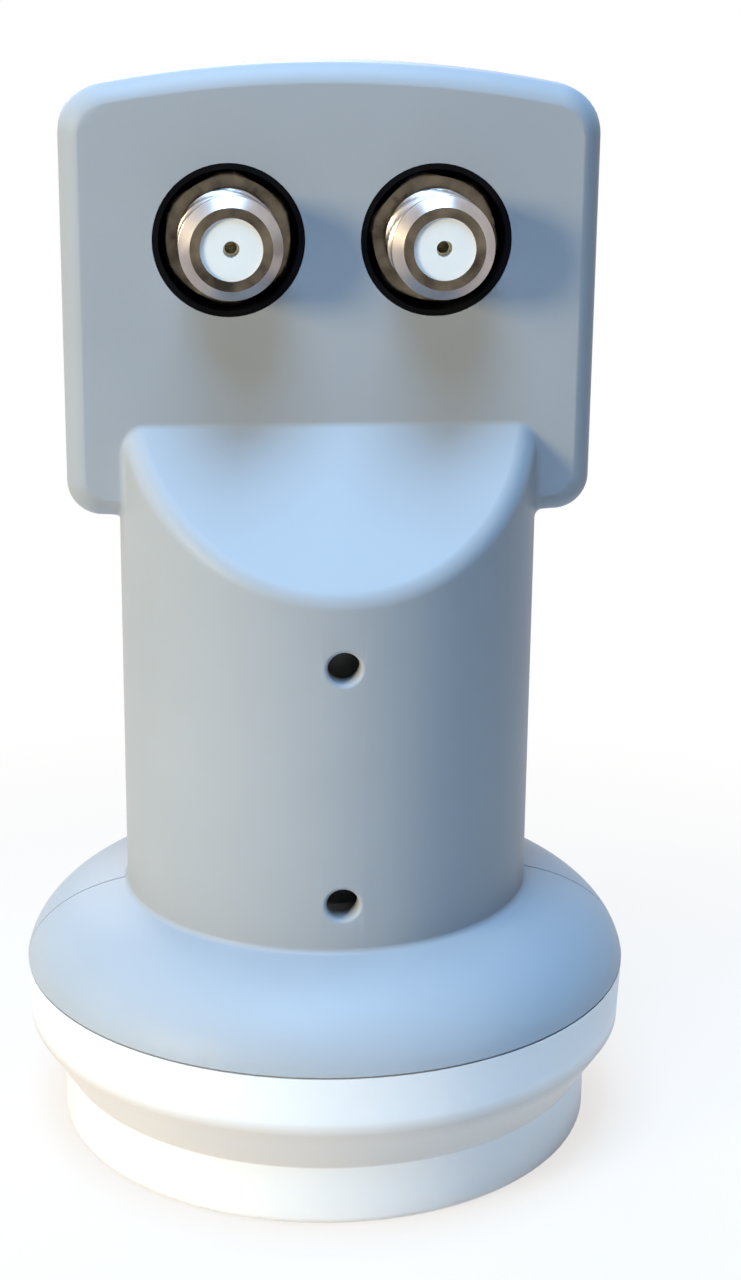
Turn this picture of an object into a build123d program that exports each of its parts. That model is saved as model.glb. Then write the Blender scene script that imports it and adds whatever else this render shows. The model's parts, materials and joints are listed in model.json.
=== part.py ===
import os
from math import radians, sqrt, tan

from build123d import *

# Satellite receiver head that stands on its feed cap, feed axis along +Z.
# The sockets face -Y, and the housing halves meet on the plane y = 0. Sizes are in mm.

# Weather housing: neck, domed flange and head
neck_d = 40.0
wall = 2.2
flange_d = 60.3
dome_base_z = 17.2
dome_top_z = 24.8
dome_lap = 4.0
dome_sink = 1.2
head_w = 49.8
head_bottom_z = 63.0
head_h = 41.9
head_front = 4.75
head_back = 23.0
head_corner_r = 4.6
head_foot_corner_r = 3.4
head_arch_r = 115.0
head_front_edge_r = 1.9
head_back_edge_r = 2.0
front_draft = 1.0
back_draft = 3.5
scoop_rise = 8.8
scoop_drop = 4.0
scoop_edge_r = 2.2
head_root_r = 0.8
neck_root_r = 0.6
least_edge_r = 0.4
seam_w = 0.2
seam_depth = 0.15
tongue_gap = 0.2
tongue_t = 1.2
tongue_w = 6.6
tongue_h = 1.6
tongue_end_gap = 1.0

# Drain holes in the neck, one over the flange and one under the scoop
drain_d = 3.0
drain_rise = 4.8
drain_drop = 6.4
drain_edge_r = 0.4

# Feed cap
cap_wall = 1.8
cap_gap = 0.2
drum_step = 3.45
drum_h = 6.1
ring_h = 11.1
ring_draft = 0.25
drum_edge_r = 0.8
ring_edge_r = 2.6
hook_depth = 0.8
hook_h = 0.4
hook_gap = 0.1

# Feed horn and round waveguide
guide_d = 17.5
tube_wall = 2.4
guide_rise = 1.0
throat_z = 26.0
mouth_d = 31.0
mouth_wall = 1.6
mouth_clear = 0.6
choke_rings = 2
choke_ring_w = 1.2
choke_depth = 9.0
choke_gap = 0.4
plate_t = 3.1
plate_clear = 0.15
foot_w = 5.2
foot_t = 1.7
foot_gap = 0.2
oring_w = 1.4
oring_depth = 1.2

# Board tray, board and cover
board_t = 0.8
floor_over_guide = 0.9
tray_floor = 1.8
tray_wall = 1.8
tray_clear = 0.6
crown_clear = 0.8
tray_front = 2.6
tongue_low_z = 34.0
part_room = 1.4
ledge_w = 1.2
board_clear = 0.2
gasket_t = 0.5
cover_t = 1.2
post_d = 4.6
cover_screw_d = 2.2
cover_screw_head_d = 4.2
cover_screw_head_h = 1.3
cover_screw_l = 3.9
board_screw_d = 1.8
board_screw_head_d = 3.4
board_screw_head_h = 1.0
board_screw_l = 4.0
board_screw_share = 0.72
board_screw_step = 4.0
screw_tip_gap = 0.2
recess_share = 0.6
recess_w = 0.6
screw_clear = 0.05

# Pick-up probes in the waveguide
probe_d = 0.9
sleeve_d = 2.0
vertical_probe_depth = 7.0
horizontal_probe_depth = 19.0
probe_reach = 4.4
pin_stub = 0.5
reflector_depth = 13.0
reflector_d = 1.6
reflector_gap = 0.3

# F sockets
socket_x = 9.55
socket_drop = 15.9
socket_hole_d = 14.0
thread_d = 9.35
barrel_reach = 6.3
barrel_chamfer = 0.95
hex_af = 11.4
hex_turned_d = 12.5
hex_t = 4.6
hex_sink = 1.2
hex_chamfer = 0.3
spigot_d = 8.0
spigot_l = 6.0
boss_d = 12.4
insulator_d = 5.65
insulator_sink = 0.25
lead_in_d = 1.5
lead_in_l = 1.5
contact_d = 2.2
contact_bore_d = 1.1
contact_l = 7.0
contact_pin_d = 0.7
seal_wall = 0.5
seal_clear = 0.05
hex_turns = (30.0, 47.0)

# Packages on the back of the board
transistor_l = 2.0
transistor_w = 1.3
chip_w = 4.0
crystal_l = 3.2
crystal_w = 2.5
regulator_l = 4.5
package_t = 0.9
transistor_x = 2.6
transistor_rises = (-2.5, 4.0)
crystal_drop = 3.0
regulator_share = 0.7
regulator_drop = 8.0

# Sizes that follow from those above
head_top_z = head_bottom_z + head_h
scoop_top_z = head_bottom_z + scoop_rise
scoop_low_z = head_bottom_z - scoop_drop
socket_z = head_top_z - socket_drop
guide_end_z = scoop_low_z + guide_rise
vertical_probe_z = guide_end_z - vertical_probe_depth
horizontal_probe_z = guide_end_z - horizontal_probe_depth
reflector_z = guide_end_z - reflector_depth
drain_heights = (dome_top_z + drain_rise, scoop_low_z - drain_drop)
tongue_l = scoop_low_z - tongue_low_z - tongue_end_gap
neck_r = neck_d / 2
flange_r = flange_d / 2
inner_r = neck_r - wall
dome_r = neck_r - dome_lap
dome_z = dome_base_z - dome_sink
dome_run = flange_r - dome_r
dome_rise = dome_top_z - dome_z
dome_area = (dome_rise * dome_run) ** 2 - (dome_lap * dome_sink) ** 2
dome_a = sqrt(dome_area / (dome_rise**2 - dome_sink**2))
dome_b = sqrt(dome_area / (dome_run**2 - dome_lap**2))
guide_r = guide_d / 2
tube_r = guide_r + tube_wall
guide_top_z = guide_end_z + tube_wall
drum_r = flange_r - drum_step
cap_top_z = dome_base_z - cap_gap
ring_inner_r = flange_r - cap_wall
plate_top_z = cap_top_z - hook_h - hook_gap
plate_low_z = plate_top_z - plate_t
plate_r = ring_inner_r - plate_clear
mouth_r = mouth_d / 2
mouth_z = cap_wall + mouth_clear
choke_r = drum_r - cap_wall - choke_gap
board_y = guide_r + floor_over_guide
board_back_y = board_y + board_t
rim_y = board_back_y + part_room
cover_y = rim_y + gasket_t
cover_back_y = cover_y + cover_t
tongue_half = sqrt(inner_r**2 - cover_back_y**2) - tray_clear
back_shrink = cover_back_y * tan(radians(back_draft))
tray_half = head_w / 2 - wall - back_shrink - tray_clear
tray_low_z = head_bottom_z + wall + back_shrink + tray_clear
arch_drop = head_arch_r - sqrt(head_arch_r**2 - tray_half**2)
tray_top_z = head_top_z - wall - back_shrink - arch_drop - tray_clear - crown_clear
post_r = post_d / 2
post_x = tray_half - post_r
post_low_z = tray_low_z + post_r
post_high_z = tray_top_z - post_r
tongue_post_z = tongue_low_z + post_r
foot_r = ring_inner_r - hook_depth - foot_gap
oring_floor_r = plate_r - oring_depth
oring_z = (plate_low_z + plate_top_z) / 2
flare = (throat_z - plate_top_z) / (throat_z - mouth_z)
plate_throat_r = guide_r + (mouth_r - guide_r) * flare + tube_wall
choke_pitch = (choke_r - mouth_r - mouth_wall) / choke_rings
cover_screw_depth = cover_screw_l - cover_t - gasket_t + screw_tip_gap
post_places = [
    (-post_x, post_low_z),
    (post_x, post_low_z),
    (-post_x, post_high_z),
    (post_x, post_high_z),
    (0, tongue_post_z),
]
board_screw_z = (post_low_z + socket_z - boss_d / 2) / 2
board_screw_places = [
    (-board_screw_share * tray_half, board_screw_z),
    (board_screw_share * tray_half, board_screw_z),
    (0, board_screw_z + board_screw_step),
    (0, post_high_z - board_screw_head_d / 2),
]
face_y = -head_front
hex_front_y = face_y + hex_sink
hex_back_y = hex_front_y + hex_t
tip_y = face_y - barrel_reach
insulator_front_y = tip_y + insulator_sink
contact_front_y = insulator_front_y + lead_in_l
insulator_back_y = tray_front + spigot_l
pin_back_y = board_back_y + pin_stub
probe_x = guide_r + probe_d / 2 + screw_clear
probe_edge_x = probe_x - probe_d / 2
transistor_places = [
    (x, guide_end_z + rise) for x in (-transistor_x, transistor_x) for rise in transistor_rises
]
chip_places = [(-socket_x, board_screw_z), (socket_x, board_screw_z)]
crystal_places = [(0, board_screw_z - crystal_drop)]
regulator_x = regulator_share * tray_half
regulator_z = socket_z - regulator_drop
regulator_places = [(-regulator_x, regulator_z), (regulator_x, regulator_z)]


def outline(inset):
    """Head outline on the parting plane: straight foot and sides, arched crown."""
    half = head_w / 2 - inset
    low_z = head_bottom_z + inset
    crown_z = head_top_z - inset
    arch_r = head_arch_r - inset
    shoulder_z = crown_z - arch_r + sqrt(arch_r**2 - half**2)
    with BuildSketch() as shape:
        with BuildLine():
            Polyline((-half, shoulder_z), (-half, low_z), (half, low_z), (half, shoulder_z))
            ThreePointArc((half, shoulder_z), (0, crown_z), (-half, shoulder_z))
        make_face()
        fillet(shape.vertices().sort_by(Axis.Y)[-2:], head_corner_r - inset)
        fillet(shape.vertices().sort_by(Axis.Y)[:2], head_foot_corner_r - inset)
    return shape.sketch


def envelope(inset):
    """Closed outer skin of the housing, moved inwards by the inset."""
    radius = neck_r - inset
    fall = scoop_top_z - scoop_low_z
    run = neck_r - head_front
    slope = sqrt(fall**2 + run**2)
    scoop_origin = (0, face_y + inset * fall / slope, scoop_top_z - inset * run / slope)
    scoop = Plane(origin=scoop_origin, x_dir=(1, 0, 0), z_dir=(0, -fall, run))
    edge_r = max(head_front_edge_r - inset, least_edge_r)
    back_edge_r = max(head_back_edge_r - inset, least_edge_r)
    head_shape = outline(inset)

    with BuildPart() as neck:
        with BuildSketch(Plane.XY.offset(dome_base_z)):
            Circle(radius)
        extrude(amount=head_top_z - dome_base_z)
        split(bisect_by=scoop, keep=Keep.BOTTOM)
        rim = neck.edges().filter_by(GeomType.ELLIPSE)
        fillet(rim, max(scoop_edge_r - inset, least_edge_r))

    with BuildPart() as head:
        with BuildSketch(Plane.XZ):
            add(head_shape)
        extrude(amount=head_front - inset, taper=front_draft)
        with BuildSketch(Plane.XZ):
            add(head_shape)
        extrude(amount=-(head_back - inset), taper=back_draft)
        fillet(head.faces().sort_by(Axis.Y)[0].edges(), edge_r)
        fillet(head.faces().sort_by(Axis.Y)[-1].edges(), back_edge_r)

    with BuildPart() as dome:
        with BuildSketch(Plane.XZ):
            with BuildLine():
                EllipticalCenterArc((dome_r, dome_z), dome_a - inset, dome_b - inset, arc_size=90)
                Polyline(
                    (dome_r, dome_z + dome_b - inset),
                    (0, dome_z + dome_b - inset),
                    (0, dome_z),
                    (dome_r + dome_a - inset, dome_z),
                )
            make_face()
        revolve(axis=Axis.Z)
        split(bisect_by=Plane.XY.offset(dome_base_z), keep=Keep.TOP)

    with BuildPart() as skin:
        add(neck.part)
        add(head.part)
        root = skin.edges(Select.NEW)
        if inset == 0:
            fillet(root, head_root_r)
        add(dome.part)
        joint = skin.edges(Select.NEW).filter_by_position(Axis.Z, dome_top_z - wall, dome_top_z + wall)
        if inset == 0:
            fillet(joint, neck_root_r)
    return skin.part


outer = envelope(0)
inner = envelope(wall)
groove_floor = envelope(seam_depth)

with BuildPart() as seam_groove:
    add(outer)
    add(groove_floor, mode=Mode.SUBTRACT)
    with BuildSketch(Plane.XZ):
        with Locations((0, head_top_z / 2)):
            Rectangle(2 * flange_d, 2 * head_top_z)
    extrude(amount=seam_w / 2, both=True, mode=Mode.INTERSECT)

# Complete shell before it is parted, with the ring that sits on the horn plate
with BuildPart() as shell:
    add(outer)
    add(inner, mode=Mode.SUBTRACT)
    with BuildSketch(Plane.XZ):
        with BuildLine():
            Polyline(
                (foot_r - foot_w, plate_top_z),
                (foot_r, plate_top_z),
                (foot_r, dome_base_z),
                (flange_r - wall / 2, dome_base_z),
                (flange_r - wall / 2, plate_top_z + foot_t),
                (foot_r - foot_w, plate_top_z + foot_t),
                close=True,
            )
        make_face()
    revolve(axis=Axis.Z)
    add(seam_groove.part, mode=Mode.SUBTRACT)

# Front half shell: socket face, scoop, drain holes and the tongues that locate the rear half
with BuildPart() as housing_front:
    add(shell.part)
    split(bisect_by=Plane.XZ, keep=Keep.TOP)
    with BuildSketch(Plane.XZ.offset(head_front)):
        with Locations((-socket_x, socket_z), (socket_x, socket_z)):
            Circle(socket_hole_d / 2)
    extrude(amount=-2 * wall, mode=Mode.SUBTRACT)
    for height in drain_heights:
        with BuildSketch(Plane.XZ.offset(neck_r)):
            with Locations((0, height)):
                Circle(drain_d / 2)
        extrude(amount=-2 * wall, mode=Mode.SUBTRACT)
        rim = housing_front.edges(Select.LAST).sort_by(Axis.Y)[0]
        fillet(rim, drain_edge_r)
    for side in (-1, 1):
        with BuildSketch(Plane.XY.offset(tongue_low_z)):
            with Locations((side * (inner_r - tongue_gap - tongue_t / 2), tongue_h - tongue_w / 2)):
                Rectangle(tongue_t, tongue_w)
        extrude(amount=tongue_l)

# Rear half shell: plain back with posts that bear on the shield cover
with BuildPart() as housing_rear:
    add(shell.part)
    split(bisect_by=Plane.XZ, keep=Keep.BOTTOM)
    with BuildSketch(Plane.XZ.offset(-cover_back_y)):
        with Locations((-socket_x, socket_z), (socket_x, socket_z)):
            Circle(post_r)
    extrude(amount=-(head_back - wall / 2 - cover_back_y))

# Feed cap: drum over the horn mouth, sloping shoulder, and a ring that hooks over the horn plate
ring_low_r = flange_r - ring_draft
cone_run = ring_low_r - drum_r
cone_rise = ring_h - drum_h
cone_len = sqrt(cone_run**2 + cone_rise**2)
cone_x = drum_r - cap_wall * cone_rise / cone_len
cone_z = drum_h + cap_wall * cone_run / cone_len
drum_inner_r = drum_r - cap_wall
step_low_z = cone_z + (drum_inner_r - cone_x) * cone_rise / cone_run
step_high_z = cone_z + (ring_inner_r - cone_x) * cone_rise / cone_run
with BuildPart() as feed_cap:
    with BuildSketch(Plane.XZ) as profile:
        with BuildLine():
            Polyline(
                (0, 0),
                (drum_r, 0),
                (drum_r, drum_h),
                (ring_low_r, ring_h),
                (flange_r, cap_top_z),
                (ring_inner_r - hook_depth, cap_top_z),
                (ring_inner_r - hook_depth, cap_top_z - hook_h / 2),
                (ring_inner_r, cap_top_z - hook_h),
                (ring_inner_r, step_high_z),
                (drum_inner_r, step_low_z),
                (drum_inner_r, cap_wall),
                (0, cap_wall),
                close=True,
            )
        make_face()
        corners = profile.vertices()
        fillet(corners.sort_by_distance((drum_r, 0))[0], drum_edge_r)
        fillet(corners.sort_by_distance((ring_low_r, ring_h))[0], ring_edge_r)
    revolve(axis=Axis.Z)

# Rubber ring squeezed between the horn plate's groove and the cap
with BuildPart() as cap_seal:
    with BuildSketch(Plane.XZ):
        with Locations(((oring_floor_r + ring_inner_r) / 2, oring_z)):
            Rectangle(ring_inner_r - oring_floor_r, oring_w)
    revolve(axis=Axis.Z)


def tray_outline(inset):
    """Board tray seen from behind: wide part in the head, tongue down the neck."""
    half = tray_half - inset
    tongue = tongue_half - inset
    with BuildSketch() as shape:
        with BuildLine():
            Polyline(
                (-tongue, tongue_low_z + inset),
                (tongue, tongue_low_z + inset),
                (tongue, tray_low_z + inset),
                (half, tray_low_z + inset),
                (half, tray_top_z - inset),
                (-half, tray_top_z - inset),
                (-half, tray_low_z + inset),
                (-tongue, tray_low_z + inset),
                close=True,
            )
        make_face()
    return shape.sketch


tray_shape = tray_outline(0)
pocket_shape = tray_outline(tray_wall)
board_shape = tray_outline(tray_wall + board_clear)

# Casting: horn with choke rings, cap plate, round waveguide and board tray in one piece
with BuildPart() as horn_casting:
    with BuildSketch(Plane.XZ):
        with BuildLine():
            Polyline(
                (0, mouth_z),
                (choke_r, mouth_z),
                (choke_r, plate_low_z),
                (plate_r, plate_low_z),
                (plate_r, plate_top_z),
                (plate_throat_r, plate_top_z),
                (tube_r, throat_z),
                (tube_r, guide_top_z),
                (0, guide_top_z),
                close=True,
            )
        make_face()
    revolve(axis=Axis.Z)
    for ring in range(choke_rings):
        groove_r = mouth_r + mouth_wall + ring * choke_pitch
        with BuildSketch(Plane.XY.offset(mouth_z)):
            Circle(groove_r + choke_pitch - choke_ring_w)
            Circle(groove_r, mode=Mode.SUBTRACT)
        extrude(amount=choke_depth, mode=Mode.SUBTRACT)
    with BuildSketch(Plane.XY.offset(oring_z - oring_w / 2)):
        Circle(ring_inner_r)
        Circle(oring_floor_r, mode=Mode.SUBTRACT)
    extrude(amount=oring_w, mode=Mode.SUBTRACT)

    # Tongue over the waveguide, then the wide tray in the head
    with BuildSketch(Plane.XZ):
        with Locations((0, (tongue_low_z + tray_low_z + tray_wall) / 2)):
            Rectangle(2 * tongue_half, tray_low_z + tray_wall - tongue_low_z)
    extrude(amount=-rim_y)
    with BuildSketch(Plane.XZ.offset(-tray_front)):
        with Locations((0, (tray_low_z + tray_top_z) / 2)):
            Rectangle(2 * tray_half, tray_top_z - tray_low_z)
    extrude(amount=-(rim_y - tray_front))
    with BuildSketch(Plane.XZ.offset(-board_y)):
        add(pocket_shape)
        with Locations(*post_places):
            Circle(post_r, mode=Mode.SUBTRACT)
    extrude(amount=-part_room - board_t, mode=Mode.SUBTRACT)
    with BuildSketch(Plane.XZ.offset(-tray_front - tray_floor)):
        with Locations((0, (tray_low_z + tray_top_z) / 2)):
            Rectangle(
                2 * (tray_half - tray_wall - ledge_w),
                tray_top_z - tray_low_z - 2 * (tray_wall + ledge_w),
            )
        with Locations((-socket_x, socket_z), (socket_x, socket_z)):
            Circle(boss_d / 2, mode=Mode.SUBTRACT)
        with Locations(*post_places, *board_screw_places):
            Circle(post_r, mode=Mode.SUBTRACT)
    extrude(amount=-(board_y - tray_front - tray_floor), mode=Mode.SUBTRACT)

    # Horn flare and waveguide bore
    with BuildSketch(Plane.XZ):
        with BuildLine():
            Polyline(
                (0, mouth_z),
                (mouth_r, mouth_z),
                (guide_r, throat_z),
                (guide_r, guide_end_z),
                (0, guide_end_z),
                close=True,
            )
        make_face()
    revolve(axis=Axis.Z, mode=Mode.SUBTRACT)

    # Screw holes, socket seats, probe holes and the cross rod's holes
    with BuildSketch(Plane.XZ.offset(-rim_y)):
        with Locations(*post_places):
            Circle(cover_screw_d / 2)
    extrude(amount=cover_screw_depth, mode=Mode.SUBTRACT)
    with BuildSketch(Plane.XZ.offset(-board_y)):
        with Locations(*board_screw_places):
            Circle(board_screw_d / 2)
    extrude(amount=board_screw_l - board_t + screw_tip_gap, mode=Mode.SUBTRACT)
    with BuildSketch(Plane.XZ.offset(-tray_front)):
        with Locations((-socket_x, socket_z), (socket_x, socket_z)):
            Circle(spigot_d / 2 + screw_clear)
    extrude(amount=-(board_y - tray_front), mode=Mode.SUBTRACT)
    with BuildSketch(Plane.XZ.offset(-board_y)):
        with Locations((0, vertical_probe_z)):
            Circle(sleeve_d / 2)
    extrude(amount=board_y - guide_r / 2, mode=Mode.SUBTRACT)
    with BuildSketch(Plane.XZ.offset(-rim_y)):
        with Locations((probe_x, horizontal_probe_z)):
            Circle(sleeve_d / 2)
    extrude(amount=rim_y + probe_d, mode=Mode.SUBTRACT)
    with BuildSketch(Plane.YZ):
        with Locations((0, reflector_z)):
            Circle(reflector_d / 2)
    extrude(amount=tube_r, both=True, mode=Mode.SUBTRACT)

# Gasket and flat cover that close the tray
with BuildPart() as cover_gasket:
    with BuildSketch(Plane.XZ.offset(-rim_y)):
        add(tray_shape)
        with BuildSketch(mode=Mode.SUBTRACT):
            add(pocket_shape)
            with Locations(*post_places):
                Circle(post_r, mode=Mode.SUBTRACT)
        with Locations(*post_places):
            Circle(cover_screw_d / 2 + screw_clear, mode=Mode.SUBTRACT)
    extrude(amount=-gasket_t)

with BuildPart() as shield_cover:
    with BuildSketch(Plane.XZ.offset(-cover_y)):
        add(tray_shape)
        with Locations(*post_places):
            Circle(cover_screw_d / 2 + screw_clear, mode=Mode.SUBTRACT)
    extrude(amount=-cover_t)

with BuildPart() as cover_screws:
    with BuildSketch(Plane.XZ.offset(-cover_back_y)):
        with Locations(*post_places):
            Circle(cover_screw_head_d / 2)
    extrude(amount=-cover_screw_head_h)
    with BuildSketch(Plane.XZ.offset(-cover_back_y)):
        with Locations(*post_places):
            Circle(cover_screw_d / 2)
    extrude(amount=cover_screw_l)
    with BuildSketch(Plane.XZ.offset(-cover_back_y - cover_screw_head_h)):
        with Locations(*post_places):
            Rectangle(recess_share * cover_screw_head_d, recess_w)
            Rectangle(recess_w, recess_share * cover_screw_head_d)
    extrude(amount=cover_screw_head_h / 2, mode=Mode.SUBTRACT)

# Amplifier board and the screws that hold it on its posts
with BuildPart() as circuit_board:
    with BuildSketch(Plane.XZ.offset(-board_y)):
        add(board_shape)
        with Locations((0, tongue_low_z)):
            Rectangle(4 * tongue_half, 2 * (post_d + board_clear), mode=Mode.SUBTRACT)
        with Locations((-2 * probe_edge_x, horizontal_probe_z), (2 * probe_edge_x, horizontal_probe_z)):
            Rectangle(2 * probe_edge_x, 4 * probe_d, mode=Mode.SUBTRACT)
        with Locations(*post_places):
            Circle(post_r + board_clear, mode=Mode.SUBTRACT)
        with Locations(*board_screw_places):
            Circle(board_screw_d / 2 + screw_clear, mode=Mode.SUBTRACT)
        with Locations((-socket_x, socket_z), (socket_x, socket_z)):
            Circle(contact_pin_d / 2 + screw_clear, mode=Mode.SUBTRACT)
        with Locations((0, vertical_probe_z)):
            Circle(probe_d / 2 + screw_clear, mode=Mode.SUBTRACT)
    extrude(amount=-board_t)

with BuildPart() as board_screws:
    with BuildSketch(Plane.XZ.offset(-board_back_y)):
        with Locations(*board_screw_places):
            Circle(board_screw_head_d / 2)
    extrude(amount=-board_screw_head_h)
    with BuildSketch(Plane.XZ.offset(-board_back_y)):
        with Locations(*board_screw_places):
            Circle(board_screw_d / 2)
    extrude(amount=board_screw_l)

# Pick-up wires: one straight through the board, one bent in from the side, each in its sleeve
with BuildPart() as vertical_probe:
    with BuildSketch(Plane.XZ.offset(-pin_back_y)):
        with Locations((0, vertical_probe_z)):
            Circle(probe_d / 2)
    extrude(amount=pin_back_y - guide_r + probe_reach)

with BuildPart() as horizontal_probe:
    with BuildLine():
        FilletPolyline(
            (probe_x, pin_back_y, horizontal_probe_z),
            (probe_x, 0, horizontal_probe_z),
            (guide_r - probe_reach, 0, horizontal_probe_z),
            radius=probe_d,
        )
    with BuildSketch(Plane.XZ.offset(-pin_back_y)):
        with Locations((probe_x, horizontal_probe_z)):
            Circle(probe_d / 2)
    sweep()

with BuildPart() as probe_sleeves:
    with BuildSketch(Plane.XZ.offset(-board_y)):
        with Locations((0, vertical_probe_z)):
            Circle(sleeve_d / 2)
            Circle(probe_d / 2, mode=Mode.SUBTRACT)
    extrude(amount=floor_over_guide)
    with BuildSketch(Plane.XZ.offset(-board_y)):
        with Locations((probe_x, horizontal_probe_z)):
            Circle(sleeve_d / 2)
            Circle(probe_d / 2, mode=Mode.SUBTRACT)
    extrude(amount=guide_r / 2)

# Rod across the waveguide between the two probes
with BuildPart() as reflector_pin:
    with BuildSketch(Plane.YZ):
        with Locations((0, reflector_z)):
            Circle(reflector_d / 2)
    extrude(amount=tube_r - reflector_gap, both=True)


def socket_frame(side):
    """Plane through a socket's axis whose normal points out of the head's face."""
    return Plane(origin=(side * socket_x, 0, socket_z), x_dir=(1, 0, 0), z_dir=(0, -1, 0))


def socket_body(side, turn):
    """Plated socket: threaded barrel, hexagon with broken corners, spigot in the tray."""
    place = socket_frame(side)
    with BuildPart() as hexagon:
        with BuildSketch(place.offset(-hex_back_y)):
            Circle(hex_turned_d / 2)
        extrude(amount=hex_t)
        chamfer(hexagon.faces().sort_by(Axis.Y)[0].edges(), hex_chamfer, (hex_turned_d - hex_af) / 2)
        with BuildSketch(place.offset(-hex_back_y)):
            RegularPolygon(hex_af / 2, 6, major_radius=False, rotation=turn)
        extrude(amount=hex_t, mode=Mode.INTERSECT)
    with BuildPart() as body:
        with BuildSketch(place.offset(-hex_back_y)):
            Circle(thread_d / 2)
        extrude(amount=hex_back_y - tip_y)
        chamfer(body.faces().sort_by(Axis.Y)[0].edges(), barrel_chamfer)
        add(hexagon.part)
        with BuildSketch(place.offset(-hex_back_y)):
            Circle(spigot_d / 2)
        extrude(amount=-(insulator_back_y - hex_back_y))
        with BuildSketch(place.offset(-insulator_back_y)):
            Circle(insulator_d / 2)
        extrude(amount=insulator_back_y - tip_y, mode=Mode.SUBTRACT)
    return body.part


def socket_insulator(side):
    """White insulator that fills the barrel, bored for the contact and its lead-in."""
    place = socket_frame(side)
    with BuildPart() as body:
        with BuildSketch(place.offset(-insulator_back_y)):
            Circle(insulator_d / 2)
        extrude(amount=insulator_back_y - insulator_front_y)
        with BuildSketch(place.offset(-insulator_front_y)):
            Circle(lead_in_d / 2)
        extrude(amount=-lead_in_l, mode=Mode.SUBTRACT)
        with BuildSketch(place.offset(-contact_front_y)):
            Circle(contact_d / 2)
        extrude(amount=-contact_l, mode=Mode.SUBTRACT)
        with BuildSketch(place.offset(-insulator_back_y)):
            Circle(contact_pin_d / 2)
        extrude(amount=insulator_back_y - contact_front_y, mode=Mode.SUBTRACT)
    return body.part


def socket_contact(side):
    """Spring contact tube for the cable's centre wire, with a pin to the board."""
    place = socket_frame(side)
    with BuildPart() as body:
        with BuildSketch(place.offset(-contact_front_y)):
            Circle(contact_d / 2)
        extrude(amount=-contact_l)
        with BuildSketch(place.offset(-contact_front_y)):
            Circle(contact_bore_d / 2)
        extrude(amount=-(contact_l - contact_d / 2), mode=Mode.SUBTRACT)
        with BuildSketch(place.offset(-contact_front_y - contact_l)):
            Circle(contact_pin_d / 2)
        extrude(amount=-(pin_back_y - contact_front_y - contact_l))
    return body.part


def socket_seal(side):
    """Rubber sleeve that lines the hole in the face and is clamped under the hexagon."""
    place = socket_frame(side)
    outer_r = socket_hole_d / 2 - seal_clear
    with BuildPart() as body:
        with BuildSketch(place.offset(-tray_front)):
            Circle(outer_r)
        extrude(amount=tray_front - face_y)
        with BuildSketch(place.offset(-hex_back_y)):
            Circle(outer_r - seal_wall)
        extrude(amount=hex_back_y - face_y, mode=Mode.SUBTRACT)
        with BuildSketch(place.offset(-tray_front)):
            Circle(spigot_d / 2 + screw_clear)
        extrude(amount=tray_front - face_y, mode=Mode.SUBTRACT)
    return body.part


def on_board(places, length, width, height):
    """Equal flat packages soldered on the back of the board."""
    with BuildPart() as packages:
        with BuildSketch(Plane.XZ.offset(-board_back_y)):
            with Locations(*places):
                Rectangle(length, width)
        extrude(amount=-height)
    return packages.part


pieces = {
    "housing_front": housing_front.part,
    "housing_rear": housing_rear.part,
    "feed_cap": feed_cap.part,
    "cap_seal": cap_seal.part,
    "horn_casting": horn_casting.part,
    "cover_gasket": cover_gasket.part,
    "shield_cover": shield_cover.part,
    "cover_screws": cover_screws.part,
    "circuit_board": circuit_board.part,
    "board_screws": board_screws.part,
    "vertical_probe": vertical_probe.part,
    "horizontal_probe": horizontal_probe.part,
    "probe_sleeves": probe_sleeves.part,
    "reflector_pin": reflector_pin.part,
    "transistors": on_board(transistor_places, transistor_l, transistor_w, package_t),
    "converter_chips": on_board(chip_places, chip_w, chip_w, package_t),
    "reference_crystal": on_board(crystal_places, crystal_l, crystal_w, package_t),
    "regulators": on_board(regulator_places, regulator_l, crystal_w, package_t),
}
for name, side, turn in (("left", -1, hex_turns[0]), ("right", 1, hex_turns[1])):
    pieces["socket_body_" + name] = socket_body(side, turn)
    pieces["socket_insulator_" + name] = socket_insulator(side)
    pieces["socket_contact_" + name] = socket_contact(side)
    pieces["socket_seal_" + name] = socket_seal(side)

os.makedirs("parts", exist_ok=True)
for name, piece in pieces.items():
    piece.label = name
    export_step(piece, "parts/" + name + ".step")
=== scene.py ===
import json
from math import acos, atan2, cos, hypot, pi, radians, sin

import bpy
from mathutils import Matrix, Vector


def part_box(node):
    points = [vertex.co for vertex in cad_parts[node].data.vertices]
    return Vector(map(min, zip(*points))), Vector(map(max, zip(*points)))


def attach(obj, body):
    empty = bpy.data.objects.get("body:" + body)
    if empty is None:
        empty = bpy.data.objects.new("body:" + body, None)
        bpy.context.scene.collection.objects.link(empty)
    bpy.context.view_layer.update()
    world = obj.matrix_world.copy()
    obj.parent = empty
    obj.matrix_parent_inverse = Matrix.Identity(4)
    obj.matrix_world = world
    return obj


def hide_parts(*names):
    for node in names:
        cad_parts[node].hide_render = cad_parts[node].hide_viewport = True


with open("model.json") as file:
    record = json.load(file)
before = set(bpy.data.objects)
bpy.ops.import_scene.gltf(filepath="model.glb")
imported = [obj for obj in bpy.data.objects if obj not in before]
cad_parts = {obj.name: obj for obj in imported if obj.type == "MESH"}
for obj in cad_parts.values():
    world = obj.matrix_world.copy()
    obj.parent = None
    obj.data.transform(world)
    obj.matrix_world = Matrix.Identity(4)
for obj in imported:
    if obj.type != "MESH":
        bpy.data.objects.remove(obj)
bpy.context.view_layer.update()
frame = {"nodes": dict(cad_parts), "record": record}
nodes = frame["nodes"]
bpy.context.scene.view_settings.view_transform = "Standard"


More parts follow.
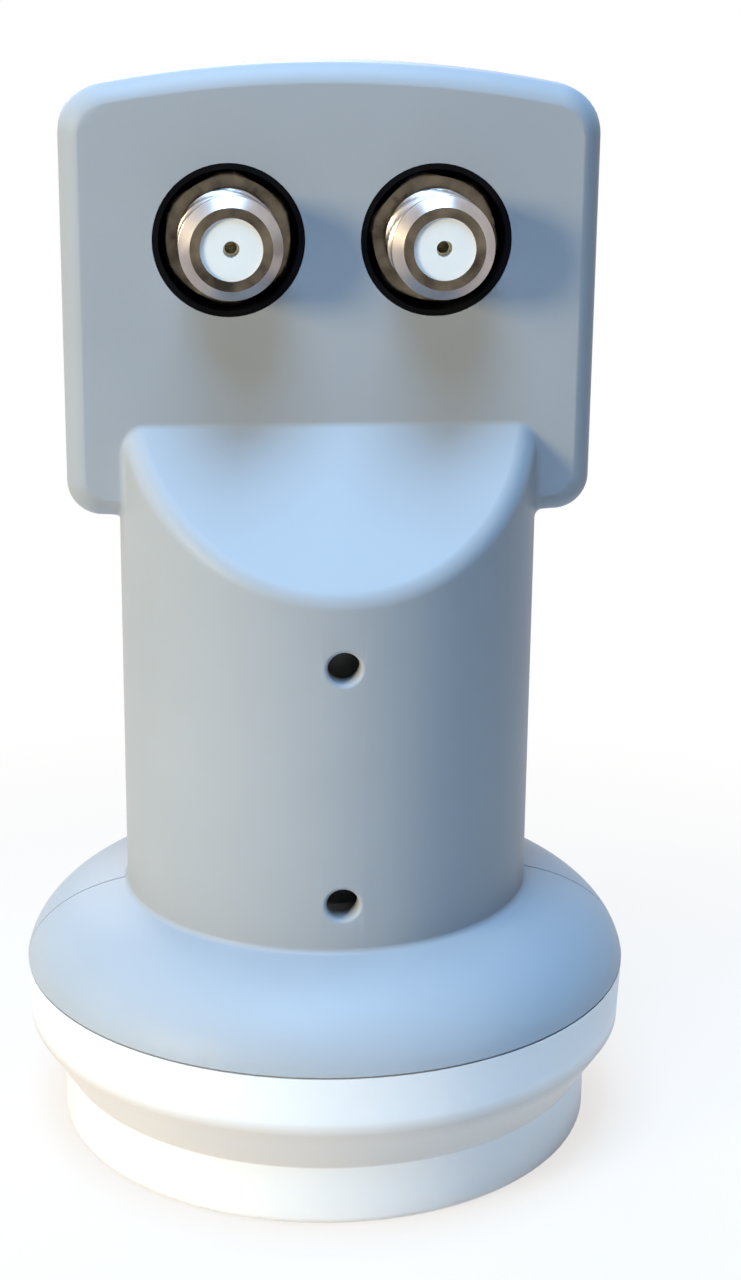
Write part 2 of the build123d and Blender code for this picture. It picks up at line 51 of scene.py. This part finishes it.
# Horn casting. The feed horn, the round waveguide and the tray for the board are one
# zinc-aluminium pressure casting, left as it came from the die: dull, with a fine grain.
# Everything else is fixed to it, and the housing closes round it.
noise_low = 0.3
noise_high = 0.7
mottle_detail = 3
bump_detail = 2


def new_material(name):
    material = bpy.data.materials.new(name)
    material.use_nodes = True
    tree = material.node_tree
    return material, tree, tree.nodes["Principled BSDF"]


def grain_noise(tree, scale, detail):
    place = tree.nodes.new("ShaderNodeTexCoord")
    noise = tree.nodes.new("ShaderNodeTexNoise")
    noise.inputs["Scale"].default_value = scale
    noise.inputs["Detail"].default_value = detail
    tree.links.new(place.outputs["Object"], noise.inputs["Vector"])
    return noise.outputs["Fac"]


def colour_range(tree, fac, low, high, start=noise_low, stop=noise_high):
    ramp = tree.nodes.new("ShaderNodeValToRGB")
    ramp.color_ramp.elements[0].position = start
    ramp.color_ramp.elements[0].color = (*low, 1)
    ramp.color_ramp.elements[1].position = stop
    ramp.color_ramp.elements[1].color = (*high, 1)
    tree.links.new(fac, ramp.inputs["Fac"])
    return ramp.outputs["Color"]


def value_range(tree, fac, low, high):
    spread = tree.nodes.new("ShaderNodeMapRange")
    spread.inputs["From Min"].default_value = noise_low
    spread.inputs["From Max"].default_value = noise_high
    spread.inputs["To Min"].default_value = low
    spread.inputs["To Max"].default_value = high
    tree.links.new(fac, spread.inputs["Value"])
    return spread.outputs["Result"]


def add_bump(tree, shader, height, depth, strength):
    bump = tree.nodes.new("ShaderNodeBump")
    bump.inputs["Strength"].default_value = strength
    bump.inputs["Distance"].default_value = depth
    tree.links.new(height, bump.inputs["Height"])
    tree.links.new(bump.outputs["Normal"], shader.inputs["Normal"])


def grained_material(
    name, dark, light, mottle_scale, roughness, metallic, bump_scale, bump_depth, bump_strength, gloss=0.5
):
    material, tree, shader = new_material(name)
    mottle = grain_noise(tree, mottle_scale, mottle_detail)
    tree.links.new(colour_range(tree, mottle, dark, light), shader.inputs["Base Color"])
    tree.links.new(value_range(tree, mottle, *roughness), shader.inputs["Roughness"])
    shader.inputs["Metallic"].default_value = metallic
    shader.inputs["Specular IOR Level"].default_value = gloss
    add_bump(tree, shader, grain_noise(tree, bump_scale, bump_detail), bump_depth, bump_strength)
    return material


def finish_node(node_name, material):
    node = nodes[node_name]
    node.data.materials.clear()
    node.data.materials.append(material)


cast_metal = grained_material(
    "cast_metal",
    dark=(0.50, 0.51, 0.52),
    light=(0.62, 0.63, 0.64),
    mottle_scale=180,
    roughness=(0.42, 0.58),
    metallic=1,
    bump_scale=1400,
    bump_depth=0.00006,
    bump_strength=0.5,
)
finish_node("horn_casting", cast_metal)


# Probes, insulating sleeves and the reflector pin in the waveguide. The probes are gold-flashed
# brass wire pushed through white plastic sleeves; the pin is a plain steel rod across the guide
# that is pressed into the casting.
gold_flash = grained_material(
    "gold_flash",
    dark=(0.30, 0.27, 0.17),
    light=(0.42, 0.38, 0.26),
    mottle_scale=400,
    roughness=(0.20, 0.34),
    metallic=1,
    bump_scale=1500,
    bump_depth=0.00002,
    bump_strength=0.3,
)
white_insulator = grained_material(
    "white_insulator",
    dark=(0.80, 0.82, 0.83),
    light=(0.86, 0.87, 0.88),
    mottle_scale=260,
    roughness=(0.32, 0.42),
    metallic=0,
    bump_scale=1800,
    bump_depth=0.00002,
    bump_strength=0.2,
)
zinc_steel = grained_material(
    "zinc_steel",
    dark=(0.48, 0.49, 0.50),
    light=(0.60, 0.60, 0.61),
    mottle_scale=500,
    roughness=(0.26, 0.40),
    metallic=1,
    bump_scale=1600,
    bump_depth=0.00003,
    bump_strength=0.3,
)
finish_node("vertical_probe", gold_flash)
finish_node("horizontal_probe", gold_flash)
finish_node("probe_sleeves", white_insulator)
finish_node("reflector_pin", zinc_steel)


# Circuit board with its transistors, converter chips, crystal and regulators. Glass-fibre board
# under green mask that the weave shows through; the packages are black moulding compound and the
# crystal is in a steel can. Small screws hold the board to the tray.
board_material, board_tree, board_shader = new_material("green_mask")
board_weave = board_tree.nodes.new("ShaderNodeTexBrick")
board_weave.inputs["Color1"].default_value = (0.020, 0.120, 0.050, 1)
board_weave.inputs["Color2"].default_value = (0.035, 0.170, 0.075, 1)
board_weave.inputs["Mortar"].default_value = (0.014, 0.085, 0.038, 1)
board_weave.inputs["Scale"].default_value = 160
board_weave.inputs["Mortar Size"].default_value = 0.06
board_place = board_tree.nodes.new("ShaderNodeTexCoord")
board_turn = board_tree.nodes.new("ShaderNodeMapping")
board_turn.inputs["Rotation"].default_value = (radians(90), 0, 0)
board_tree.links.new(board_place.outputs["Object"], board_turn.inputs["Vector"])
board_tree.links.new(board_turn.outputs["Vector"], board_weave.inputs["Vector"])
board_tree.links.new(board_weave.outputs["Color"], board_shader.inputs["Base Color"])
board_shader.inputs["Roughness"].default_value = 0.35
add_bump(board_tree, board_shader, board_weave.outputs["Fac"], depth=0.00003, strength=0.3)
finish_node("circuit_board", board_material)
finish_node("board_screws", zinc_steel)

package_black = grained_material(
    "package_black",
    dark=(0.010, 0.010, 0.011),
    light=(0.022, 0.022, 0.023),
    mottle_scale=600,
    roughness=(0.45, 0.60),
    metallic=0,
    bump_scale=2400,
    bump_depth=0.00002,
    bump_strength=0.4,
)
for package in ("transistors", "converter_chips", "regulators"):
    finish_node(package, package_black)
finish_node("reference_crystal", zinc_steel)


# Shield cover, its gasket and screws. A flat lid pressed from rolled aluminium sheet closes the
# board tray; the lay of the rolling runs up it. A thin rubber gasket is trapped under it, and pan
# screws go through both into the casting.
rolled_dark = (0.60, 0.61, 0.62)
rolled_light = (0.70, 0.71, 0.72)
rolled_sheet, rolled_tree, rolled_shader = new_material("rolled_sheet")
rolled_place = rolled_tree.nodes.new("ShaderNodeTexCoord")
rolled_stretch = rolled_tree.nodes.new("ShaderNodeMapping")
rolled_stretch.inputs["Scale"].default_value = (1400, 1400, 30)
rolled_noise = rolled_tree.nodes.new("ShaderNodeTexNoise")
rolled_noise.inputs["Scale"].default_value = 1
rolled_lay = rolled_noise.outputs["Fac"]
rolled_tree.links.new(rolled_place.outputs["Object"], rolled_stretch.inputs["Vector"])
rolled_tree.links.new(rolled_stretch.outputs["Vector"], rolled_noise.inputs["Vector"])
rolled_colour = colour_range(rolled_tree, rolled_lay, rolled_dark, rolled_light)
rolled_tree.links.new(rolled_colour, rolled_shader.inputs["Base Color"])
rolled_satin = value_range(rolled_tree, rolled_lay, low=0.28, high=0.42)
rolled_tree.links.new(rolled_satin, rolled_shader.inputs["Roughness"])
rolled_shader.inputs["Metallic"].default_value = 1
add_bump(rolled_tree, rolled_shader, rolled_lay, depth=0.00002, strength=0.3)
finish_node("shield_cover", rolled_sheet)
finish_node("cover_screws", zinc_steel)

black_rubber = grained_material(
    "black_rubber",
    dark=(0.003, 0.003, 0.004),
    light=(0.006, 0.006, 0.007),
    mottle_scale=220,
    roughness=(0.55, 0.70),
    metallic=0,
    bump_scale=1600,
    bump_depth=0.00004,
    bump_strength=0.4,
    gloss=0.03,
)
finish_node("cover_gasket", black_rubber)


# Housing. Two halves moulded in light grey weatherproof plastic meet at a fine seam round the
# head, the neck and the flange. The surface is an even satin with a very fine spark grain.
# Each half is drawn here as a merged copy of its solid, so that its curves shade smoothly.
merge_distance = 0.000002
crease_angle = radians(32)
area_weight = 80


def merged_copy(node_name, piece_name, material):
    piece = bpy.data.objects.new(piece_name, nodes[node_name].data.copy())
    bpy.context.scene.collection.objects.link(piece)
    bpy.ops.object.select_all(action="DESELECT")
    piece.select_set(True)
    bpy.context.view_layer.objects.active = piece
    bpy.ops.object.mode_set(mode="EDIT")
    bpy.ops.mesh.select_all(action="SELECT")
    bpy.ops.mesh.customdata_custom_splitnormals_clear()
    bpy.ops.mesh.remove_doubles(threshold=merge_distance)
    bpy.ops.object.mode_set(mode="OBJECT")
    piece.data.materials.clear()
    piece.data.materials.append(material)
    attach(piece, "root")
    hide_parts(node_name)
    return piece


def shade_evenly(piece):
    bpy.ops.object.shade_smooth_by_angle(angle=crease_angle)
    even = piece.modifiers.new("even_shading", "WEIGHTED_NORMAL")
    even.keep_sharp = True
    even.weight = area_weight
    bpy.ops.object.modifier_apply(modifier=even.name)


def smooth_copy(node_name, piece_name, material):
    shade_evenly(merged_copy(node_name, piece_name, material))


grey_plastic = grained_material(
    "grey_plastic",
    dark=(0.365, 0.383, 0.417),
    light=(0.393, 0.410, 0.445),
    mottle_scale=45,
    roughness=(0.38, 0.46),
    metallic=0,
    bump_scale=2200,
    bump_depth=0.00002,
    bump_strength=0.25,
    gloss=0.14,
)
smooth_copy("housing_rear", "rear_half", grey_plastic)

# The rounded border of the socket face is flattened towards a bevel, as the moulding tool left it.
front_half = merged_copy("housing_front", "front_half", grey_plastic)
face_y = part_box("socket_seal_left")[0][1]
border_r = 0.0019
border_flatness = 0.35
border_tolerance = radians(12)
head_foot_z = 0.0630
scoop_half = 0.0210
outward = {vertex.index: vertex.normal.copy() for vertex in front_half.data.vertices}
for vertex in front_half.data.vertices:
    depth = vertex.co.y - face_y
    beside_neck = vertex.co.z < head_foot_z + 2 * border_r and abs(vertex.co.x) < scoop_half
    if not 0 < depth < border_r or vertex.co.z < head_foot_z or beside_neck:
        continue
    normal = outward[vertex.index]
    side_part = hypot(normal.x, normal.z)
    turn = acos(1 - depth / border_r)
    if abs(atan2(side_part, -normal.y) - turn) > border_tolerance:
        continue
    share = 2 * turn / pi
    sink = border_flatness * border_r * (share - 1 + cos(turn))
    pull = border_flatness * border_r * (sin(turn) - share)
    vertex.co.x -= pull * normal.x / side_part
    vertex.co.z -= pull * normal.z / side_part
    vertex.co.y += sink
shade_evenly(front_half)


# Feed cap and its seal. The white cover over the horn mouth is moulded in one piece from a plastic
# that the signal passes through, and its ring snaps over the horn's plate on a black rubber seal.
# The undercut between drum and ring is tinted darker and warmer: painted shade under the ring's overhang,
# with a thin film of dust.
white_dark = (0.79, 0.79, 0.82)
white_light = (0.82, 0.82, 0.85)
cap_top_z = 0.017
no_tint = (1, 1, 1)
# Painted shade with some dust: this tint darkens the undercut band between drum and ring.
dust_and_painted_shade = (0.74, 0.66, 0.59)
dust_and_shade_heights = ((0.005984, no_tint), (0.006188, dust_and_painted_shade), (0.011101, dust_and_painted_shade), (0.012393, no_tint))

white_plastic, white_tree, white_shader = new_material("white_plastic")
white_mottle = grain_noise(white_tree, scale=40, detail=mottle_detail)
white_clean = colour_range(white_tree, white_mottle, white_dark, white_light)
white_place = white_tree.nodes.new("ShaderNodeTexCoord")
white_height = white_tree.nodes.new("ShaderNodeSeparateXYZ")
white_scale = white_tree.nodes.new("ShaderNodeMapRange")
white_scale.inputs["From Min"].default_value = 0
white_scale.inputs["From Max"].default_value = cap_top_z
# A ramp by height lays the painted shade and dust tint on the undercut band only.
white_dust_and_shade = white_tree.nodes.new("ShaderNodeValToRGB")
tint_stops = white_dust_and_shade.color_ramp.elements
for number, (tint_z, tint_colour) in enumerate(dust_and_shade_heights):
    if number == len(tint_stops):
        tint_stops.new(tint_z / cap_top_z)
    tint_stops[number].position = tint_z / cap_top_z
    tint_stops[number].color = (*tint_colour, 1)
white_shade = white_tree.nodes.new("ShaderNodeMixRGB")
white_shade.blend_type = "MULTIPLY"
white_shade.inputs["Fac"].default_value = 1
white_satin = value_range(white_tree, white_mottle, low=0.34, high=0.44)
white_tree.links.new(white_place.outputs["Object"], white_height.inputs["Vector"])
white_tree.links.new(white_height.outputs["Z"], white_scale.inputs["Value"])
white_tree.links.new(white_scale.outputs["Result"], white_dust_and_shade.inputs["Fac"])
white_tree.links.new(white_clean, white_shade.inputs["Color1"])
white_tree.links.new(white_dust_and_shade.outputs["Color"], white_shade.inputs["Color2"])
white_tree.links.new(white_shade.outputs["Color"], white_shader.inputs["Base Color"])
white_tree.links.new(white_satin, white_shader.inputs["Roughness"])
white_grain = grain_noise(white_tree, scale=2000, detail=bump_detail)
add_bump(white_tree, white_shader, white_grain, depth=0.00002, strength=0.2)
smooth_copy("feed_cap", "white_feed_cap", white_plastic)
finish_node("cap_seal", black_rubber)


# Rubber sleeves in the holes of the head's face. Each is a soft black ring that seals the gap
# between the socket's hexagon and the housing, pressed in flush with the face.
for side in ("left", "right"):
    smooth_copy("socket_seal_" + side, "rubber_sleeve_" + side, black_rubber)


# Coaxial sockets. Turned from brass and nickel plated: a bright barrel with a 32-per-inch thread
# and a chamfered tip, and a hexagon for the spanner. The hexagon and the tip's end face are
# coloured dark brown, a painted dark reflection.
# The solid's plain crest wall is cut out, and a threaded wall of the same length set in its place.
bright_nickel = grained_material(
    "bright_nickel",
    dark=(0.34, 0.30, 0.29),
    light=(0.46, 0.42, 0.41),
    mottle_scale=300,
    roughness=(0.28, 0.38),
    metallic=1,
    bump_scale=1500,
    bump_depth=0.00001,
    bump_strength=0.25,
)
# Dark nickel for the hexagon and the tip's end face: a painted dark reflection.
nickel_painted_dark_reflection = grained_material(
    "nickel_painted_dark_reflection",
    dark=(0.040, 0.033, 0.027),
    light=(0.17, 0.14, 0.10),
    mottle_scale=420,
    roughness=(0.22, 0.36),
    metallic=1,
    bump_scale=1200,
    bump_depth=0.00003,
    bump_strength=0.4,
)
thread_pitch = 0.0254 / 32
thread_depth = 0.00030
thread_rows_per_turn = 8
thread_sides = 96
groove_floor = 1.5
groove_flank = 4.4
run_out = 0.0006
joint_w = 0.00003
crest_tolerance = 0.00006
barrel_back_y = -0.0030
hexagon_front_y = -0.0040
hexagon_proud = 0.0001
tip_skin = 0.0005
facing_aside = 0.05
facing_out = -0.9

for side in ("left", "right"):
    mount = next(m for m in frame["record"]["mounts"] if m["name"] == "socket_thread_" + side)
    socket_x, _, socket_z = mount["pos_m"]
    crest_r = mount["dims"]["r_mm"] / 1000
    tip_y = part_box("socket_body_" + side)[0][1]
    body = merged_copy("socket_body_" + side, "socket_shell_" + side, bright_nickel)
    body.data.materials.append(nickel_painted_dark_reflection)

    bpy.ops.object.mode_set(mode="EDIT")
    bpy.ops.mesh.select_mode(type="FACE")
    bpy.ops.mesh.select_all(action="DESELECT")
    bpy.ops.object.mode_set(mode="OBJECT")
    wall_ys = []
    for face in body.data.polygons:
        x, y, z = face.center
        radius = hypot(x - socket_x, z - socket_z)
        at_crest = abs(radius - crest_r) < crest_tolerance and y < barrel_back_y
        on_wall = at_crest and abs(face.normal.y) < facing_aside
        face.select = on_wall
        if on_wall:
            wall_ys += [body.data.vertices[i].co.y for i in face.vertices]
        on_tip = face.normal.y < facing_out and y < tip_y + tip_skin
        on_hexagon = y > hexagon_front_y and radius > crest_r + hexagon_proud
        # The tip's end face and the hexagon take the nickel with the painted dark reflection.
        face.material_index = 1 if on_tip or on_hexagon else 0
    wall_start, wall_end = min(wall_ys), max(wall_ys)
    wall_length = wall_end - wall_start
    bpy.ops.object.mode_set(mode="EDIT")
    bpy.ops.mesh.delete(type="FACE")
    bpy.ops.object.mode_set(mode="OBJECT")

    bpy.ops.object.select_all(action="DESELECT")
    bpy.ops.mesh.primitive_cylinder_add(
        vertices=thread_sides,
        radius=crest_r,
        depth=wall_length - 2 * joint_w,
        end_fill_type="NOTHING",
        location=(socket_x, (wall_start + wall_end) / 2, socket_z),
        rotation=(radians(90), 0, 0),
    )
    wall = bpy.context.object
    bpy.ops.object.transform_apply(location=True, rotation=True, scale=True)
    bpy.ops.object.mode_set(mode="EDIT")
    bpy.ops.mesh.select_mode(type="EDGE")
    bpy.ops.mesh.select_all(action="DESELECT")
    bpy.ops.object.mode_set(mode="OBJECT")
    for edge in wall.data.edges:
        first, second = (wall.data.vertices[i].co for i in edge.vertices)
        edge.select = abs(first.y - second.y) > wall_length / 2
    bpy.ops.object.mode_set(mode="EDIT")
    bpy.ops.mesh.subdivide(number_cuts=int(wall_length / thread_pitch * thread_rows_per_turn))
    bpy.ops.object.mode_set(mode="OBJECT")
    for vertex in wall.data.vertices:
        angle = atan2(vertex.co.z - socket_z, vertex.co.x - socket_x)
        turn = (vertex.co.y / thread_pitch + angle / (2 * pi)) % 1
        groove = max(0, min(1, groove_floor - abs(turn - 0.5) * groove_flank))
        fade = min(1, (vertex.co.y - wall_start) / run_out, (wall_end - vertex.co.y) / run_out)
        radius = crest_r - thread_depth * groove * max(0, fade)
        vertex.co.x = socket_x + radius * cos(angle)
        vertex.co.z = socket_z + radius * sin(angle)
    wall.data.materials.append(bright_nickel)
    body.select_set(True)
    bpy.context.view_layer.objects.active = body
    bpy.ops.object.join()
    for end_y in (wall_start, wall_end):
        bpy.ops.object.mode_set(mode="EDIT")
        bpy.ops.mesh.select_mode(type="EDGE")
        bpy.ops.mesh.select_all(action="DESELECT")
        bpy.ops.mesh.select_non_manifold(
            use_wire=False, use_multi_face=False, use_non_contiguous=False, use_verts=False
        )
        bpy.ops.object.mode_set(mode="OBJECT")
        for edge in body.data.edges:
            first, second = (body.data.vertices[i].co for i in edge.vertices)
            edge.select = edge.select and abs((first.y + second.y) / 2 - end_y) < 2 * joint_w
        bpy.ops.object.mode_set(mode="EDIT")
        bpy.ops.mesh.bridge_edge_loops()
        bpy.ops.object.mode_set(mode="OBJECT")
    shade_evenly(body)


# Socket insulators and contacts. A white plastic plug fills each barrel, with a lead-in hole for
# the cable's centre wire; the gold-flashed spring contact waits behind it.
for side in ("left", "right"):
    smooth_copy("socket_insulator_" + side, "white_plug_" + side, white_insulator)
    smooth_copy("socket_contact_" + side, "spring_contact_" + side, gold_flash)


# Floor. A white sheet that the part stands on, on a bench: it is palest under the part and throws
# light back on the cap. To the camera it takes the soft shadow near the part and fades to plain
# white further out. Near the part the white shown to the camera is also dimmed a little: a painted
# shade halo round the part.
sheet_size = 12
sheet_pale = (0.94, 0.85, 0.77)
sheet_dim = (0.38, 0.36, 0.34)
pale_reach = 0.05
dim_reach = 0.14
# A slightly darker white near the part: painted shade halo.
glow_painted_halo = (0.94, 0.92, 0.90)
glow_far = (1, 1, 1)
glow_share_near = 0.80
shadow_reach = 0.03
white_reach = 0.12


def seen_rays(tree):
    rays = tree.nodes.new("ShaderNodeLightPath")
    mirror = tree.nodes.new("ShaderNodeMath")
    mirror.operation = "MAXIMUM"
    glass = tree.nodes.new("ShaderNodeMath")
    glass.operation = "MAXIMUM"
    tree.links.new(rays.outputs["Is Camera Ray"], mirror.inputs[0])
    tree.links.new(rays.outputs["Is Glossy Ray"], mirror.inputs[1])
    tree.links.new(mirror.outputs["Value"], glass.inputs[0])
    tree.links.new(rays.outputs["Is Transmission Ray"], glass.inputs[1])
    return glass.outputs["Value"]


bpy.ops.object.select_all(action="DESELECT")
bpy.ops.mesh.primitive_plane_add(size=sheet_size, location=(0, 0, 0))
floor = bpy.context.object
floor.name = "floor"
floor_material, floor_tree, floor_shader = new_material("white_sweep")
floor_shader.inputs["Roughness"].default_value = 0.9
floor_shader.inputs["Specular IOR Level"].default_value = 0.1
floor_place = floor_tree.nodes.new("ShaderNodeTexCoord")
floor_length = floor_tree.nodes.new("ShaderNodeVectorMath")
floor_length.operation = "LENGTH"
floor_tree.links.new(floor_place.outputs["Object"], floor_length.inputs[0])
floor_reach = floor_length.outputs["Value"]
sheet_colour = colour_range(floor_tree, floor_reach, sheet_pale, sheet_dim, pale_reach, dim_reach)
floor_tree.links.new(sheet_colour, floor_shader.inputs["Base Color"])
floor_glow = floor_tree.nodes.new("ShaderNodeEmission")
floor_glow.inputs["Strength"].default_value = 1
# The camera-seen white is darker near the part: painted shade.
glow_with_painted_halo = colour_range(floor_tree, floor_reach, glow_painted_halo, glow_far, shadow_reach, white_reach)
floor_tree.links.new(glow_with_painted_halo, floor_glow.inputs["Color"])
floor_fade = floor_tree.nodes.new("ShaderNodeMapRange")
floor_fade.interpolation_type = "SMOOTHSTEP"
floor_fade.inputs["From Min"].default_value = shadow_reach
floor_fade.inputs["From Max"].default_value = white_reach
floor_fade.inputs["To Min"].default_value = glow_share_near
floor_fade.inputs["To Max"].default_value = 1
floor_seen = floor_tree.nodes.new("ShaderNodeMath")
floor_seen.operation = "MULTIPLY"
floor_mix = floor_tree.nodes.new("ShaderNodeMixShader")
floor_out = floor_tree.nodes["Material Output"]
floor_tree.links.new(floor_reach, floor_fade.inputs["Value"])
floor_tree.links.new(seen_rays(floor_tree), floor_seen.inputs[0])
floor_tree.links.new(floor_fade.outputs["Result"], floor_seen.inputs[1])
floor_tree.links.new(floor_seen.outputs["Value"], floor_mix.inputs["Fac"])
floor_tree.links.new(floor_shader.outputs["BSDF"], floor_mix.inputs[1])
floor_tree.links.new(floor_glow.outputs["Emission"], floor_mix.inputs[2])
floor_tree.links.new(floor_mix.outputs["Shader"], floor_out.inputs["Surface"])
floor.data.materials.append(floor_material)


# Studio light. A small soft warm key stands low on the left, a broad blue panel hangs overhead a
# little in front, and a weak lamp behind keeps the back from going black. The room is white to the
# camera and to mirrors, and gives only a dim warm fill.
aim_z = 0.055


# At level 1, a white surface that faces the panel renders as white.
def soft_panel(name, level, distance, azimuth, elevation, width, height, colour):
    lamp = bpy.data.lights.new(name, "AREA")
    lamp.shape = "RECTANGLE"
    lamp.size = width
    lamp.size_y = height
    lamp.energy = level * (pi * distance) ** 2
    lamp.color = colour
    panel = bpy.data.objects.new(name, lamp)
    panel.location = (
        distance * cos(radians(elevation)) * sin(radians(azimuth)),
        -distance * cos(radians(elevation)) * cos(radians(azimuth)),
        aim_z + distance * sin(radians(elevation)),
    )
    panel.rotation_euler = (radians(90 - elevation), 0, radians(azimuth))
    bpy.context.scene.collection.objects.link(panel)


soft_panel(
    "key_panel",
    level=0.90,
    distance=0.9,
    azimuth=-60,
    elevation=13,
    width=0.24,
    height=0.24,
    colour=(1.0, 0.85, 0.53),
)
soft_panel(
    "sky_panel",
    level=2.12,
    distance=1.0,
    azimuth=-22,
    elevation=78,
    width=0.45,
    height=0.9,
    colour=(0.39, 0.67, 1.0),
)
soft_panel(
    "back_panel",
    level=0.40,
    distance=1.1,
    azimuth=190,
    elevation=25,
    width=0.6,
    height=0.6,
    colour=(1.0, 0.91, 0.80),
)

room = bpy.data.worlds.new("white_room")
bpy.context.scene.world = room
room.use_nodes = True
room_tree = room.node_tree
room_fill = room_tree.nodes["Background"]
room_fill.inputs["Color"].default_value = (1.0, 0.80, 0.80, 1)
room_fill.inputs["Strength"].default_value = 0.03
room_white = room_tree.nodes.new("ShaderNodeBackground")
room_white.inputs["Color"].default_value = (1, 1, 1, 1)
room_white.inputs["Strength"].default_value = 1
room_mix = room_tree.nodes.new("ShaderNodeMixShader")
room_out = room_tree.nodes["World Output"]
room_tree.links.new(seen_rays(room_tree), room_mix.inputs["Fac"])
room_tree.links.new(room_fill.outputs["Background"], room_mix.inputs[1])
room_tree.links.new(room_white.outputs["Background"], room_mix.inputs[2])
room_tree.links.new(room_mix.outputs["Shader"], room_out.inputs["Surface"])


# Camera. It stands a little to the left of the part and above it and looks slightly down, at the
# distance that gives the photograph's perspective.
lens = bpy.data.cameras.new("camera")
lens.sensor_width = 36
lens.lens = 65.97
lens.clip_start = 0.01
camera = bpy.data.objects.new("camera", lens)
camera.location = (-0.017823, -0.220106, 0.117154)
camera.rotation_euler = (radians(72.921), radians(-0.572), radians(-5.566))
bpy.context.scene.collection.objects.link(camera)
bpy.context.scene.camera = camera
